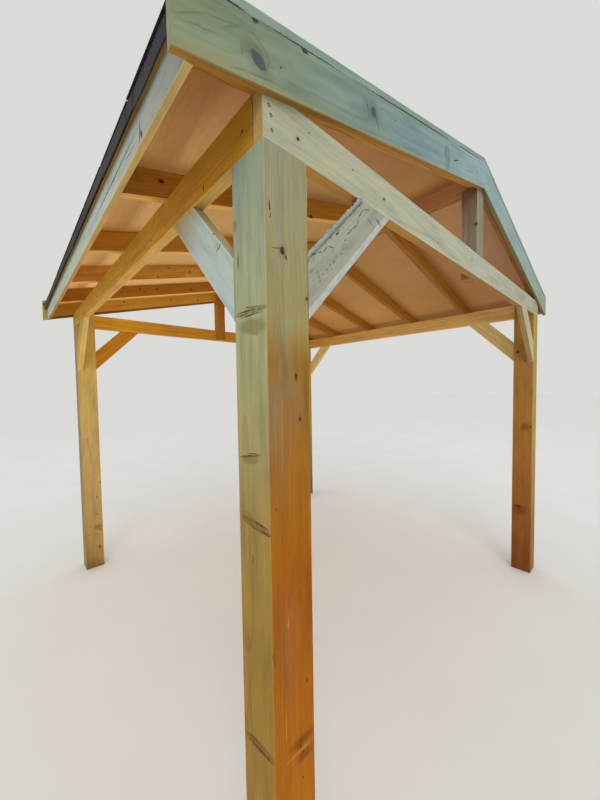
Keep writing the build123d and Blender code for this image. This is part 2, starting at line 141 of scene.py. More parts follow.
# Knots, cracks and other marks of each timber, on the faces that lie at a level of an axis. A row gives the
# other two coordinates of a mark, half its length, half its width and its tilt if it has one, in mm and
# degrees of the shelter's frame.
placed_marks = {
    "front_left_post": [("x", -1500, dict(
        scar=[(-1435, 1877, 8, 70, 0.3), (-1418, 1499, 4, 50, 11.5), (-1435, 1316, 11, 66, -5.1),
            (-1431, 700, 15, 68, 11.5)],
        crack=[(-1433, 1867, 1.7, 50), (-1413, 1880, 1.4, 44, -2.4), (-1432, 1888, 1.2, 34, -4.7),
            (-1395, 1873, 1.2, 24, 4), (-1407, 1497, 1.2, 26, 11), (-1425, 1507, 1.1, 26, 9),
            (-1419, 1217, 20, 1.4), (-1379, 2017, 17, 1.5), (-1458, 1325, 2.2, 40, -5.1),
            (-1480, 1308, 2.6, 19, -4), (-1424, 1309, 1, 44, -3), (-1440, 694, 2.4, 56, 11.5),
            (-1405, 703, 1.5, 36, 11.5)],
        stain=[(-1437, 1838, 21, 62, -5), (-1464, 1840, 8, 8), (-1452, 1824, 12, 22), (-1368, 2114, 18, 9),
            (-1418, 1490, 13, 44, 8), (-1380, 2017, 24, 5), (-1400, 1330, 14, 30, -5)])),
        ("y", -1500, dict(
        crack=[(-1484, 2121, 14, 2.6, 2), (-1481, 2098, 8, 1.6, -6), (-1434, 2010, 7, 3, 24),
            (-1466, 2025, 0.9, 17, 12), (-1406, 1702, 9, 1.5, 8), (-1480, 1372, 3, 2), (-1383, 859, 9, 2.4),
            (-1410, 687, 4, 3), (-1399, 663, 4, 4), (-1404, 591, 4, 3)],
        knot=[(-1446, 2023, 11, 9), (-1363, 1918, 6, 4), (-1406, 1709, 7, 4), (-1394, 1595, 6, 3)],
        graze=[(-1448, 1060, 24, 1.8), (-1417, 676, 2.6, 54, -3.9), (-1460, 775, 42, 1.7)],
        heartwood=[(-1495, 984, 23, 3, 6), (-1405, 700, 17, 48, -3.9), (-1395, 652, 16, 34, -3.9)]))],
    "front_right_post": [("x", 1355, dict(
        knot=[(-1404, 579, 8, 20), (-1487, 1301, 9, 5), (-1388, 1961, 10, 10)],
        heartwood=[(-1419, 547, 50, 62), (-1377, 581, 23, 3, -56), (-1419, 588, 30, 3, 49),
            (-1463, 595, 25, 3, -62), (-1373, 223, 30, 4, 22), (-1403, 257, 20, 4, 70),
            (-1434, 241, 26, 4, -26), (-1448, 1298, 44, 36), (-1411, 967, 41, 3, 5), (-1437, 1888, 60, 5, -26),
            (-1397, 1793, 25, 3, -66), (-1398, 1731, 24, 3, -67)]))],
    "rear_left_post": [("y", 1355, dict(
        knot=[(-1388, 185, 13, 9), (-1395, 667, 9, 5), (-1362, 804, 8, 5), (-1374, 351, 6, 5)],
        heartwood=[(-1397, 378, 26, 40), (-1401, 505, 10, 18), (-1467, 324, 35, 3.5, 86),
            (-1391, 303, 44, 3.5, 65), (-1452, 400, 26, 3, 62), (-1398, 359, 43, 3, 47)]))],
    "front_tie_beam": [("y", -1500, dict(
        knot=[(-1386, 2326, 5, 4, 20), (-1345, 2363, 2.5, 2, 20), (-1154, 2351, 4, 3.2, 20),
            (-979, 2331, 6, 4.8, 20), (-544, 2309, 5, 4, 20), (-125, 2344, 5, 4, 20), (520, 2330, 6, 4.8, 20),
            (1010, 2360, 6, 4.8, 20)]))],
    "left_wall_plate": [("x", -1500, dict(
        knot=[(-1412, 2338, 5, 4, 15), (-700, 2310, 5, 4, 15), (-300, 2345, 6, 4.8, 15),
            (420, 2320, 7, 5.6, 15)],
        crack=[(-1193, 2299, 13, 4, 86), (-741, 2366, 23, 2, 33)]))],
    "front_left_gable_brace": [("y", -1500, dict(
        crack=[(-1334, 2046, 19, 1.6, -22), (-1306, 2058, 11, 1.6, -23), (-1285, 2073, 16, 1.6, 2),
            (-1261, 2086, 13, 1.6, -41), (-1174, 2155, 19, 1.6, 4), (-1146, 2181, 19, 1.6, -9),
            (-1130, 2203, 11, 1.6, 44), (-1116, 2231, 22, 1.6, 7), (-1083, 2256, 21, 1.6, -25),
            (-1014, 2239, 24, 2.6, -73), (-1061, 2221, 22, 1.7, -70), (-1233, 2132, 9, 4), (-1196, 2125, 5, 2)],
        stain=[(-1206, 2096, 6, 3), (-1216, 2078, 7, 3), (-1239, 2063, 5, 3), (-1248, 2046, 7, 4),
            (-1266, 2033, 6, 3), (-1258, 2024, 5, 3), (-1279, 2016, 7, 3), (-1297, 2000, 6, 3),
            (-1313, 1988, 7, 3), (-1321, 2000, 5, 2), (-1309, 1978, 5, 3), (-1337, 1972, 6, 2),
            (-1352, 2020, 12, 2.4), (-1345, 1995, 10, 2.4), (-1141, 2179, 4, 2), (-1172, 2139, 4, 2)]))],
    "front_left_side_brace": [("x", -1500, dict(
        crack=[(-1267, 2089, 1.7, 21, 24), (-1254, 2098, 1.2, 9, -14), (-1246, 2142, 3, 6, 45),
            (-1279, 2089, 15, 2.2, 80), (-1294, 2108, 11, 2.2, -64)]))],
    "front_king_post": [("x", -50, dict(knot=[(-1494, 2560, 9, 8)]))],
    "left_rafter_second": [("y", -908, dict(knot=[(-1524, 2445, 12, 8.4), (-743, 2589, 13, 9.1)]))],
    "left_rafter_third": [("y", -315, dict(knot=[(-1091, 2593, 5, 3.5), (-374, 2735, 5, 3.5)]))],
    "left_rafter_fourth": [("y", 277, dict(
        knot=[(-895, 2591, 8, 5.6), (-1057, 2582, 6, 4.2), (-1138, 2498, 7, 4.9)]))],
    "left_rafter_fifth": [("y", 870, dict(
        knot=[(-1090, 2562, 9, 6.3), (-1050, 2543, 8, 5.6), (-946, 2590, 8, 5.6), (-626, 2654, 9, 6.3)]))],
    "left_rafter_rear_end": [("y", 1462, dict(
        knot=[(-1073, 2575, 8, 5.6), (-597, 2679, 9, 6.3), (-278, 2735, 9, 6.3)]))],
    "left_fascia": [("x", -1687, dict(
        knot=[(-1228, 2341, 6, 13, 20), (-2, 2349, 5, 4), (610, 2360, 8, 7, 10)],
        crack=[(-926, 2366, 270, 3, 1.2), (-1214, 2352, 3, 36, -12), (-1130, 2349, 60, 1.6, -4)]))],
    "front_left_bargeboard": [("y", -1520, dict(
        knot=[(-1523, 2416, 24, 17, -40), (-1070, 2559, 15, 17, -30)],
        stain=[(-1090, 2560, 50, 34, 20), (-497, 2690, 27, 64, -14)],
        crack=[(-399, 2722, 34, 3, 12), (-520, 2700, 2, 20, -14), (-478, 2680, 2, 26, -14),
            (-1050, 2540, 2, 30, 20), (-1102, 2556, 1.6, 26, 10), (-1530, 2496.2, 11, 7, 8),
            (-1376, 2536, 14, 6, -4)],
        sapwood=[(-1620, 2343.1, 160, 30), (-1400, 2396, 260, 16), (-950, 2512.4, 400, 8)],
        vein=[(-1680, 2398, 44, 2.6, 23), (-1609, 2437, 45, 2.6, 8), (-1658, 2387, 47, 2.4, 5),
            (-1587, 2443, 35, 3, 25), (-1567, 2411, 15, 2, -91), (-1527, 2461, 18, 3, -29),
            (-1500, 2447, 17, 3, -56), (-1496, 2419, 21, 2.4, -122), (-1534, 2443, 23, 2, -37),
            (-1516, 2383, 46, 3.4, 4), (-1574, 2364, 30, 2.2, 9)]))],
    "front_right_bargeboard": [("y", -1520, dict(
        crack=[(509, 2679, 4, 4), (535, 2635, 4, 4), (22, 2797, 9, 2.4), (92, 2782, 10, 2.4, 40)]))],
}
# The dark open joints between the verge caps and the bargeboards, drawn wider than the gap: the open joint and a
# painted shadow in it.
placed_marks |= {
    f"{end}_{side}_verge_cap": [("y", level, dict(
        crack=[(way * 1600, 2484.1, 55, 3.2), (way * 1370, 2543.6, 170, 1.8), (way * 800, 2691, 400, 3.6),
            (way * 230, 2838.4, 170, 2.2)]))]
    for end, level in (("front", -1520), ("rear", 1520)) for side, way in (("left", -1), ("right", 1))
}


def linear(code):
    """Turns an sRGB hex colour into the linear numbers that a shader takes."""
    parts = [int(code[i:i + 2], 16) / 255 for i in (1, 3, 5)]
    return tuple(c / 12.92 if c <= 0.04045 else ((c + 0.055) / 1.055) ** 2.4 for c in parts)


def shade(code, part):
    """A colour that can be changed in the sidebar."""
    return FloatVectorProperty(name=part.capitalize(), description=f"Colour of the {part}", default=linear(code),
                               size=3, min=0, max=1, subtype="COLOR")


def length(value, name, text, most=1.0):
    """A size in metres that can be changed in the sidebar."""
    return FloatProperty(name=name, description=text, default=value, min=0, max=most, precision=4,
                         subtype="DISTANCE", unit="LENGTH")


def shades_of(face):
    """The colours along a face: the place of each, the name of its setting, its code and what it colours."""
    given, words = face_colours[face], face.replace("_", " ")
    if isinstance(given, str):
        return [(0, face, given, words)]
    return [(place, f"{face}_{k}", code, f"{words} at {place:.0%} of its length")
            for k, (place, code) in enumerate(given.items(), 1)]


class ShelterTimberColours(bpy.types.PropertyGroup):
    """Colours of the pine and the plywood, by the face that the weather or the treatment gave them, with painted
    light and shade on many
    """

    __annotations__ = {name: shade(code, part) for face in face_colours for _, name, code, part in shades_of(face)}


class ShelterGrain(bpy.types.PropertyGroup):
    """How the pine is figured and worn"""

    ring_gap: length(0.0055, "Ring spacing", "Distance between two growth rings", 0.02)
    taper: FloatProperty(name="Taper of the log", default=0.007, min=0, max=0.05,
                         description="Growth of the ring radius along the log, in metres a metre")
    arris_wear: length(0.0007, "Arris wear", "How far the rounded arrises are rubbed down", 0.005)
    chip: length(0.003, "Arris chips", "Depth of the deepest chips in the posts' arrises", 0.01)
    wane: length(0.016, "Wane", "Width of the bark edge on the near gable brace", 0.03)
    seed: IntProperty(name="Seed", description="Picks another set of logs", default=11, min=0, max=999)


class ShelterRoof(bpy.types.PropertyGroup):
    """Sizes and colours of the felt"""

    felt: shade("#2D2B32", "felt")
    felt_worn: shade("#50443A", "felt, dusty")
    tab: length(0.333, "Tab width", "Width of one shingle tab")
    course: length(0.145, "Course", "Height of each course that stays in view")
    strip: length(0.336, "Strip height", "Height of a whole shingle strip")
    slot: length(0.006, "Slot", "Width of the slot between two tabs", 0.05)
    sheet: length(0.0021, "Felt thickness", "Thickness of one felt sheet", 0.01)
    hem: length(0.042, "Hem", "How far the felt hangs over the edge of the boarding", 0.1)


class ShelterFixings(bpy.types.PropertyGroup):
    """Sizes and colour of the nail and screw heads"""

    nail_head: length(0.0065, "Nail head", "Diameter of the nail heads", 0.03)
    screw_head: length(0.0095, "Screw head", "Diameter of the countersunk screw heads", 0.03)
    steel: shade("#6F6A60", "fixings")


class ShelterStage(bpy.types.PropertyGroup):
    """Floor, background and lamps"""

    floor: shade("#EDEDEA", "floor")
    background: shade("#DBDBD8", "background")
    fill: FloatProperty(name="Fill", description="Level of the even light from all round", default=0.82, min=0,
                        max=2)
    key: FloatProperty(name="Key", description="Power of the large soft lamp", default=620, min=0, max=5000,
                       subtype="POWER", unit="POWER")
    bounce: FloatProperty(name="Bounce", description="Power of the soft lamp that lifts the underside of the roof",
                          default=28, min=0, max=500, subtype="POWER", unit="POWER")


def node(tree, kind, *values, named=None, stops=None, out=None, **settings):
    """Adds one node with its settings, and its operation if one follows the kind after a dot. A Mix node
    mixes colours unless its data_type is given.

    Values are linked to its open sockets in order or set on them, and named ones by name. It gives the
    output that is named, or else the first open one."""
    kind, _, operation = kind.partition(".")
    made = tree.nodes.new(kind if kind.startswith("Node") else "ShaderNode" + kind)
    made.location = (220 * (len(tree.nodes) % 14), -260 * (len(tree.nodes) // 14))
    if kind == "Mix":
        made.data_type, made.blend_type = "RGBA", operation or "MIX"
    elif operation:
        made.operation = operation
    for key, value in settings.items():
        setattr(made, key, value)
    if stops:
        made.color_ramp.elements.remove(made.color_ramp.elements[1])
        made.color_ramp.elements[0].position = stops[0][0]
        made.color_ramp.elements[0].color = (*stops[0][1], 1)
        for place, tint in stops[1:]:
            made.color_ramp.elements.new(place).color = (*tint, 1)
    pairs = list(zip([s for s in made.inputs if s.enabled], values))
    pairs += [(made.inputs[key], value) for key, value in (named or {}).items()]
    for socket, value in pairs:
        if isinstance(value, bpy.types.NodeSocket):
            tree.links.new(value, socket)
        elif value is not None:
            socket.default_value = (*value, 1) if socket.type == "RGBA" and len(value) == 3 else value
    return made.outputs[out] if out else next((s for s in made.outputs if s.enabled), None)


def new_material(name):
    """Starts a material without nodes, and gives it with the function that adds nodes to it."""
    made = bpy.data.materials.new(name)
    made.use_nodes = True
    made.node_tree.nodes.clear()
    return made, partial(node, made.node_tree)


def place_object(name, data):
    """Puts an object into the scene."""
    made = bpy.data.objects.new(name, data)
    bpy.context.collection.objects.link(made)
    return made


def mesh_from(bm, name):
    """Ends the work on a mesh."""
    mesh = bpy.data.meshes.new(name)
    bm.to_mesh(mesh)
    bm.free()
    return mesh


def add_piece(name, mesh, material, replaced=None):
    """Adds a piece of the shelter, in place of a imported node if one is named."""
    mesh.materials.append(material)
    piece = place_object(name, mesh)
    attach(piece, "root")
    if replaced:
        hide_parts(replaced)


def pine_figure():
    """Rings, fibres, patches and knots of a pine log that lies along X with its pith on the X axis."""
    if "pine_figure" in bpy.data.node_groups:
        return bpy.data.node_groups["pine_figure"]
    tree = bpy.data.node_groups.new("pine_figure", "ShaderNodeTree")
    tree.interface.new_socket("Place", in_out="INPUT", socket_type="NodeSocketVector")
    for way, names in (("INPUT", ("Ring gap", "Taper", "Knot size", "Marks")),
                       ("OUTPUT", ("Ring", "Fibre", "Patch", "Knot", "Halo"))):
        for name in names:
            tree.interface.new_socket(name, in_out=way, socket_type="NodeSocketFloat")
    add = partial(node, tree)
    place, gap, taper, knot_size, marks = add("NodeGroupInput").node.outputs[:5]
    along = add("VectorMath.MULTIPLY", place, (1, 0, 0))
    across = add("VectorMath.MULTIPLY", place, (0, 1, 1))
    radius = add("VectorMath.LENGTH", across)
    # branches leave the pith like spokes, so they are picked on a cylinder 80 mm from it
    spoke = add("VectorMath.NORMALIZE", across)
    shell = add("VectorMath.MULTIPLY_ADD", spoke, (0.08, 0.08, 0.08), along)
    branch = add("TexVoronoi", shell, 6.0).node.outputs
    girth = add("MapRange", add("SeparateColor", branch["Color"]), 0.0, 1.0, 0.018, 0.066)
    girth = add("Math.MULTIPLY", girth, knot_size)
    reach = add("Math.DIVIDE", branch["Distance"], girth)
    nearest = add("Math.MINIMUM", reach, marks)
    swell = add("MapRange", nearest, 4.5, 0.7, 0.0, 1.0, interpolation_type="SMOOTHSTEP")
    # slow drift of the rings, 30 mm at most over about a metre, bends them into arches on a flat face
    stretched = add("VectorMath.MULTIPLY", place, (1.3, 7, 7))
    drift = add("Math.ADD", add("TexNoise", stretched, 1.0, 2.0, 0.5), -0.5)
    bent = add("Math.MULTIPLY_ADD", drift, 0.034, radius)
    height = add("SeparateXYZ", place)
    bent = add("Math.MULTIPLY_ADD", swell, 0.009, add("Math.MULTIPLY_ADD", height, taper, bent))
    years = add("Math.DIVIDE", bent, gap)
    season = add("Math.FRACT", years)
    late = add("ValToRGB", season, stops=[(0, (0.05,) * 3), (0.45, (0.15,) * 3), (0.82, (0.8,) * 3),
                                          (0.92, (1.0,) * 3), (1, (0.1,) * 3)])
    year = add("Math.FLOOR", years)
    vigour = add("MapRange", add("TexWhiteNoise", year, noise_dimensions="1D"), 0.0, 1.0, 0.3, 1.0)
    ring = add("Math.MULTIPLY", late, vigour)
    # fibres are drawn 3 to 10 mm wide, where real ones of under 1 mm would not show
    fine = add("TexNoise", add("VectorMath.MULTIPLY", place, (3.5, 300, 300)), 1.0, 2.0, 0.6)
    broad = add("TexNoise", add("VectorMath.MULTIPLY", place, (1.4, 85, 85)), 1.0, 3.0, 0.6)
    fibre = add("Mix", 0.5, fine, broad, data_type="FLOAT")
    patch = add("TexNoise", add("VectorMath.MULTIPLY", place, (2.2, 9, 9)), 1.0, 3.0, 0.55)
    knot = add("MapRange", nearest, 1.1, 0.75, 0.0, 1.0, interpolation_type="SMOOTHSTEP")
    halo = add("MapRange", nearest, 2.6, 1.0, 0.0, 1.0, interpolation_type="SMOOTHSTEP")
    add("NodeGroupOutput", ring, fibre, patch, knot, halo)
    return tree


def stops_along(face):
    """Colour stops along a face, as the sidebar has them."""
    colours = bpy.context.scene.shelter_timber
    return [(place, tuple(getattr(colours, name))) for place, name, *_ in shades_of(face)]


def planed_pine(name, outer, inner, edges, run, marks=(), rings=0.5, late="#B79468", streaks=0.2, patches=0.3,
                stain="#8A9A7C", pale=0.35, knots=1.0, knot=None, bark=None, chalk=None, bloom=0.0,
                ends="end_grain", growth=1.0, soak="#6E7C78"):
    """Pine planed by machine and pressure treated: silky flat faces, dark late wood in fine lines, knots ringed
    by bent grain, uneven grey green salts of the treatment, and paler rubbed arrises with a painted highlight.

    Outer, inner, edges and ends name the colours of its faces. Rings, streaks and patches say how strongly
    those show, late and stain their tints, growth how wide the rings are and knots how large."""
    grain = bpy.context.scene.shelter_grain
    colours = bpy.context.scene.shelter_timber
    made, add = new_material(name)
    place = add("Attribute", attribute_name="place_in_log", out="Vector")
    facing = add("Attribute", attribute_name="facing", out="Vector")
    facing = add("SeparateXYZ", facing).node.outputs
    split = add("SeparateXYZ", place).node.outputs
    height = add("Math.DIVIDE", split["X"], run)

    # placed knots and cracks: each is an ellipsoid about a point of the surface, roughened by noise
    rough = add("TexNoise", place, 90.0, 2.0, 0.6, out="Color")
    rough = add("VectorMath.SUBTRACT", rough, (0.5, 0.5, 0.5))
    ragged = add("VectorMath.MULTIPLY_ADD", rough, (0.007, 0.007, 0.007), place)
    near = {}
    for kind, spot, size, turn in marks:
        reach = add("Mapping", ragged, spot, turn, size, vector_type="TEXTURE")
        reach = add("VectorMath.LENGTH", reach)
        near[kind] = add("Math.MINIMUM", near.get(kind, 9.0), reach)
    figure = add("Group", node_tree=pine_figure(), named={
        "Place": place, "Ring gap": grain.ring_gap * growth, "Taper": grain.taper, "Knot size": knots,
        "Marks": near.get("knot", 9.0)})
    ring, fibre, patch, heart, halo = figure.node.outputs

    # each face has its own colour: the tint that weather, treatment or shelter gave it, and on many timbers painted
    # light and shade by the way the face turns
    tone, out_tone, in_tone = (add("ValToRGB", height, stops=stops_along(tints)) for tints in (edges, outer, inner))
    outside = add("MapRange", facing["Y"], 0.45, 0.9, 0.0, 1.0)
    tone = add("Mix", outside, tone, out_tone)
    turned = add("MapRange", facing["Y"], -0.45, -0.9, 0.0, 1.0)
    tone = add("Mix", turned, tone, in_tone)
    sawn = add("MapRange", add("Math.ABSOLUTE", facing["X"]), 0.6, 0.9, 0.0, 1.0)
    tone = add("Mix", sawn, tone, tuple(getattr(colours, ends)))

    figured = add("Math.MULTIPLY", ring, rings)
    tone = add("Mix.MULTIPLY", figured, tone, linear(late))
    streaky = add("MapRange", fibre, 0.3, 0.7, 1 - streaks, 1 + streaks)
    tone = add("VectorMath.SCALE", tone, named={"Scale": streaky})
    mottle = add("TexNoise", add("VectorMath.MULTIPLY", place, (4.5, 26, 26)), 1.0, 4.0, 0.62)
    mottled = add("ValToRGB", mottle, stops=[(0.32, (0.83, 0.84, 0.86)), (0.5, (1, 1, 1)),
                                             (0.68, (1.14, 1.1, 1.0))])
    tone = add("Mix.MULTIPLY", 1.0, tone, mottled)
    stained = add("MapRange", patch, 0.46, 0.78, 0.0, patches, interpolation_type="SMOOTHSTEP")
    if bloom:
        # the grey salts keep to the upper part of the post, under the roof; this grey top is partly painted shade
        outside = add("MapRange", height, bloom, bloom + 0.15, 0.15, 1.0)
    stained = add("Math.MULTIPLY", stained, outside)
    tone = add("Mix", stained, tone, linear(stain))

    # distance from the nearest arris, from the section coordinates stored on the mesh
    section = add("Attribute", attribute_name="section", out="Vector")
    level = add("SeparateXYZ", section).node.outputs["Y"]
    section = add("VectorMath.ABSOLUTE", section)
    half = add("Attribute", attribute_name="half_section", out="Vector")
    inset = add("SeparateXYZ", add("VectorMath.SUBTRACT", half, section)).node.outputs
    inset = add("Math.MULTIPLY_ADD", fibre, -0.006, add("Math.MAXIMUM", inset["X"], inset["Y"]))
    # rubbed arrises are paler: partly wear, partly a painted highlight along them
    rubbed = add("MapRange", inset, 0.001, -0.002, 0.0, pale)
    lighter = add("VectorMath.SCALE", tone, named={"Scale": 1.55})
    tone = add("Mix", rubbed, tone, lighter)

    # stains soak in with a soft edge, sapwood shows olive along an edge, veins are dark late wood that
    # bends round a knot, heartwood is a brown patch beside one, grazes are pale fresh wood
    for kind, first, last, share, tint in (
            ("stain", 1.2, 0.7, 0.6, soak), ("sapwood", 1.25, 0.45, 0.7, "#929069"),
            ("vein", 1.2, 0.5, 0.55, "#5F6A57"), ("heartwood", 1.2, 0.4, 0.55, "#5E300E"),
            ("graze", 1.15, 0.6, 0.6, "#CF9346")):
        if kind in near:
            soaked = add("MapRange", near[kind], first, last, 0.0, share)
            tone = add("Mix", soaked, tone, linear(tint))
    if "scar" in near:
        # scars are branches cut along their length
        cut = add("MapRange", near["scar"], 1.15, 0.9, 0.0, 1.0)
        streaky = add("MapRange", fibre, 0.35, 0.62, 0.25, 0.75)
        cut = add("Math.MULTIPLY", cut, streaky)
        tone = add("Mix", cut, tone, linear("#6F4E28"))
    if chalk:
        # a band along the lower edge where the treatment dried in bluish, greenish and cream patches
        blotch = add("TexNoise", add("VectorMath.MULTIPLY", place, (34, 60, 60)), 1.0, 2.0, 0.55)
        salts = add("ValToRGB", blotch, stops=[(0.36, linear("#A6B2C4")), (0.5, linear("#B4C0B8")),
                                               (0.62, linear("#C3C2AE"))])
        low_edge = add("Math.MULTIPLY_ADD", blotch, 0.005, level)
        band = add("MapRange", low_edge, chalk[0] + 0.0025, chalk[1] + 0.0025, 0.0, 0.8)
        tone = add("Mix", band, tone, salts)
    if bark:
        # a torn line where the bark came away, paler wood above it, and dark flecks left in the hollows
        low, width = bark
        torn = add("MapRange", add("TexNoise", place, 60.0, 4.0, 0.7), 0.25, 0.75, -0.004, 0.004)
        ripped = add("Math.ADD", level, torn)
        bared = add("MapRange", ripped, low + 0.028, low + 0.014, 0.0, 0.55)
        kept = add("MapRange", level, low - 0.002, low, 0.0, 1.0)
        bared = add("Math.MULTIPLY", bared, kept)
        tone = add("Mix", bared, tone, linear("#A9AC9C"))
        line = add("Math.ABSOLUTE", add("Math.SUBTRACT", ripped, low))
        line = add("MapRange", line, width, width * 0.3, 0.0, 0.85)
        broken = add("MapRange", patch, 0.34, 0.46, 0.0, 1.0)
        line = add("Math.MULTIPLY", line, broken)
        tone = add("Mix", line, tone, linear("#494A3E"))
        fleck = add("TexNoise", add("VectorMath.MULTIPLY", place, (30, 46, 46)), 1.0, 5.0, 0.72)
        fleck = add("MapRange", fleck, 0.56, 0.68, 0.0, 0.6)
        high = add("MapRange", level, 0.03, 0.01, 0.0, 1.0)
        fleck = add("Math.MULTIPLY", fleck, high)
        tone = add("Mix", fleck, tone, linear("#66665A"))

    ringed = add("Math.MULTIPLY", halo, 0.3)
    tone = add("Mix.MULTIPLY", ringed, tone, linear("#C79A66"))
    # the heart is dark and broken, the rim darker still
    core = add("TexNoise", add("VectorMath.MULTIPLY", place, (300, 300, 300)), 1.0, 3.0, 0.7)
    core = add("MapRange", core, 0.35, 0.6, 0.75, 1.0)
    rim = add("MapRange", heart, 0.15, 0.7, 1.0, 0.0)
    core = add("Math.MAXIMUM", core, rim)
    solid = add("Math.MULTIPLY", heart, core)
    tone = add("Mix", solid, tone, linear(knot) if knot else tuple(colours.knot))
    split_open = add("MapRange", near["crack"], 1.15, 0.6, 0.0, 0.88) if "crack" in near else 0.0
    if "crack" in near:
        tone = add("Mix", split_open, tone, linear("#2E2115"))

    relief = add("Math.MULTIPLY_ADD", heart, -0.8, add("Math.MULTIPLY_ADD", ring, 0.25, fibre))
    relief = add("Math.MULTIPLY_ADD", split_open, -2.0, relief)
    bump = add("Bump", named={"Strength": 0.35, "Distance": 0.0012, "Height": relief})
    sheen = add("MapRange", fibre, 0.3, 0.7, 0.74, 0.58)
    wood = add("BsdfPrincipled", named={"Base Color": tone, "Roughness": sheen, "IOR": 1.5, "Normal": bump,
                                        "Specular IOR Level": 0.1})
    add("OutputMaterial", wood)
    return made


def marks_of(name):
    """The placed marks of a timber: kind, middle, half length, half width and tilt, in metres and radians."""
    marks = []
    for axis, level, kinds in placed_marks.get(name, ()):
        for kind, rows in kinds.items():
            for u, v, long, wide, *tilt in rows:
                point = [u, v]
                point.insert("xyz".index(axis), level)
                marks.append((kind, Vector(point) / 1000, long / 1000, wide / 1000, math.radians(sum(tilt))))
    return marks


def timber(name, slot, grain, outward, radius, material, pith, station=0.03, chips=0.0, wane=0.0, **finish):
    """Replaces a timber with one whose arrises are worn, cut from a log of its own.

    The mesh carries its place in the log, with X along the grain and the pith on the X axis, so the
    figure of the pine runs through the piece from face to face. It is cut across every station.
    """
    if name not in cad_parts:
        raise RuntimeError(f"the shelter has no timber named {name}")
    wear = bpy.context.scene.shelter_grain
    x_axis, y_axis = Vector(grain).normalized(), Vector(outward).normalized()
    turn = Matrix((x_axis, y_axis, x_axis.cross(y_axis))).transposed().to_4x4()
    bm = bmesh.new()
    bm.from_mesh(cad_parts[name].data)
    bmesh.ops.transform(bm, matrix=turn.inverted(), verts=bm.verts)
    bmesh.ops.remove_doubles(bm, verts=bm.verts, dist=1e-5)
    bmesh.ops.dissolve_limit(bm, angle_limit=math.radians(1), verts=bm.verts, edges=bm.edges)
    low, high = (Vector(tuple(pick(v.co[i] for v in bm.verts) for i in range(3))) for pick in (min, max))
    centre = Vector((low.x, (low.y + high.y) / 2, (low.z + high.z) / 2))
    half = (high - low) / 2
    run = high.x - low.x
    bmesh.ops.translate(bm, vec=-centre, verts=bm.verts)
    cuts = max(2, round(run / station))
    for i in range(1, cuts):
        bmesh.ops.bisect_plane(bm, geom=bm.verts[:] + bm.edges[:] + bm.faces[:],
                               plane_co=(run * i / cuts, 0, 0), plane_no=(1, 0, 0))

    rounded = set()
    seed = wear.seed + sum(map(ord, name))
    for v in bm.verts:
        beyond = [abs(v.co[i]) - (half[i] - radius) for i in (1, 2)]
        # only points of a rounded arris are moved, found with 0.3 mm to spare
        if min(beyond) < -0.0003:
            continue
        rounded.add(v)
        lean = Vector([max(0.0, b) / radius for b in beyond])
        lean = lean.normalized() if lean.length > 0 else lean
        corner = 2 * (v.co.y > 0) + (v.co.z > 0)
        spot = Vector((v.co.x, corner * 7.7, seed * 1.3))
        # wear that changes slowly and quickly along it, chips where the noise peaks, and the bark edge
        slow = noise.noise(Vector((spot.x * 9, spot.y, spot.z)))
        rub = wear.arris_wear * (0.7 + slow + 0.5 * noise.noise(spot * 40))
        rub += chips * max(0.0, noise.noise(Vector((spot.x * 14, spot.y, spot.z))) - 0.42) * 3.2
        if wane and corner == 2:
            rub += wane * (0.75 + 0.5 * noise.noise(Vector((spot.x * 12, 0, seed)))
                           + 0.35 * noise.noise(Vector((spot.x * 55, 3, seed))))
        v.co.y += math.copysign(max(0.0, rub) * (lean[0] - 1), v.co.y)
        v.co.z += math.copysign(max(0.0, rub) * (lean[1] - 1), v.co.z)
    bm.normal_update()
    for face in bm.faces:
        face.smooth = all(v in rounded for v in face.verts) and max(map(abs, face.normal)) < 0.995

    mesh = mesh_from(bm, name + "_worn")
    points = [v.co.copy() for v in mesh.vertices]
    for layer, domain, values in (
        ("section", "POINT", [(p.y, p.z, 0.0) for p in points]),
        ("half_section", "POINT", [(half.y, half.z, 0.0) for p in points]),
        ("place_in_log", "POINT", [(p.x, p.y + pith[0], p.z + pith[1]) for p in points]),
        ("facing", "CORNER", [tuple(n.vector) for n in mesh.corner_normals]),
    ):
        stored = mesh.attributes.new(layer, "FLOAT_VECTOR", domain).data
        stored.foreach_set("vector", [c for value in values for c in value])
    mesh.transform(turn @ Matrix.Translation(centre))

    local = Matrix.Translation(-centre) @ turn.inverted()
    placed = []
    for kind, point, long, wide, tilt in marks_of(name):
        beside = local @ point
        on_side = abs(abs(beside.y) - half.y) < abs(abs(beside.z) - half.z)
        # how deep the mark goes into the wood
        depth = 0.005 if kind == "sapwood" else 0.008
        size = (long, depth, wide) if on_side else (long, wide, depth)
        turned = (0, tilt, 0) if on_side else (0, 0, tilt)
        placed.append((kind, beside + Vector((0, *pith)), size, turned))
    look = bpy.data.materials.get(material) or planed_pine(material, run=run, marks=placed, **finish)
    add_piece(name + "_timber", mesh, look, name)


def pith_for(name, near=0.03, far=0.09):
    """Where the middle of the section lies from the pith of its log, picked by the piece's name."""
    pick = random.Random(name + str(bpy.context.scene.shelter_grain.seed))
    angle, reach = pick.uniform(0.6, 2.5) * pick.choice((-1, 1)), pick.uniform(near, far)
    return (reach * math.cos(angle), reach * math.sin(angle))


def up_slope(inward):
    """The way up a slope of the roof."""
    return inward * math.cos(roof_pitch) + up * math.sin(roof_pitch)


